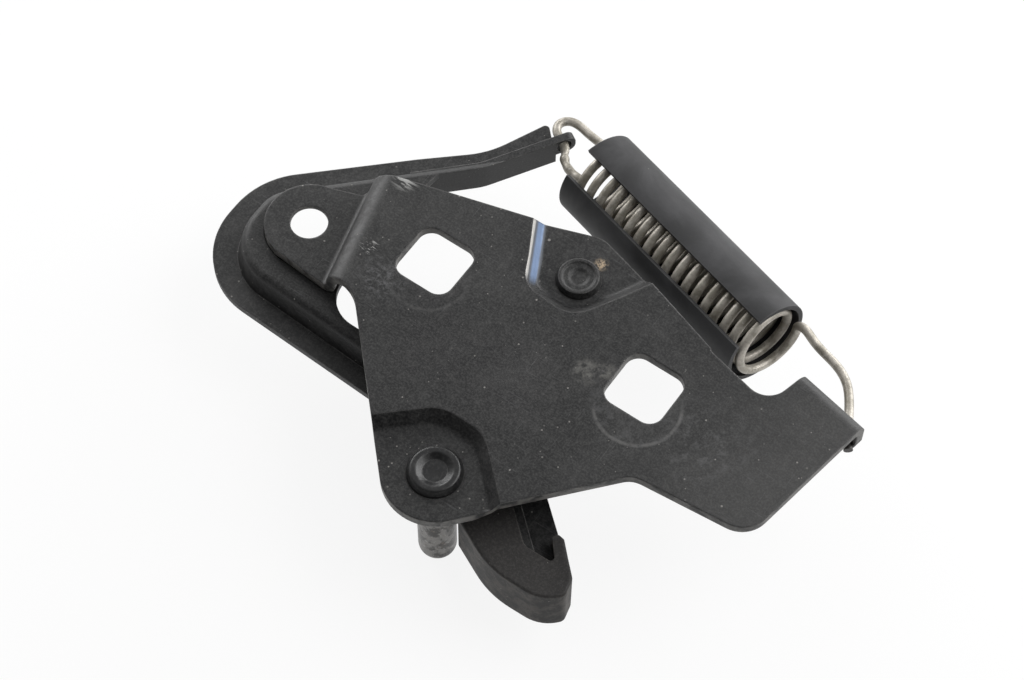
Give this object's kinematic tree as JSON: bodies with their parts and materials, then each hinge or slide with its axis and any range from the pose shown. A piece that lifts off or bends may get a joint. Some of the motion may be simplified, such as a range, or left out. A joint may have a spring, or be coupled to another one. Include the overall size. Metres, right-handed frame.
{
  "type": "vehicle door striker",
  "caption": "Stamped steel striker plate with a riveted pin, a spring-loaded lever with a shod nose and a tension spring in a split plastic sleeve.",
  "frame": {"origin": "midway between the two square bolt holes, on the plate's front face, the side the rivet heads are sunk in", "axes": "+Z out of the front face, +X from the square hole by the foot to the square hole by the spring tab, +Y towards the spring"},
  "size_m": [0.1444, 0.105, 0.0394],
  "materials": {
    "black_steel": "worn black coating, satin",
    "pin_steel": "worn bare steel",
    "rivet_steel": "black coating, satin",
    "eyelet_steel": "dull zinc",
    "lever_steel": "worn black coating, satin",
    "shoe_plastic": "worn moulded plastic",
    "spring_steel": "dull plated spring wire",
    "sleeve_plastic": "soft black plastic"
  },
  "bodies": {
    "plate": {"mounting_plate": "black_steel", "striker_pin": "pin_steel", "guide_stud": "rivet_steel", "guide_washer": "eyelet_steel", "pivot_eyelet": "eyelet_steel", "spring": "spring_steel", "spring_sleeve": "sleeve_plastic"},
    "lever": {"lever": "lever_steel", "nose_shoe": "shoe_plastic"}
  },
  "joints": [
    {"name": "lever_pivot", "type": "hinge", "parent": "plate", "child": "lever", "pos_m": [-0.057, -0.0044, -0.0109], "axis": [0, 0, 1], "range_deg": [0, 10], "stiffness_Nm_per_rad": 6.9, "springref_deg": -11.46, "deforming": ["spring"]}
  ]
}
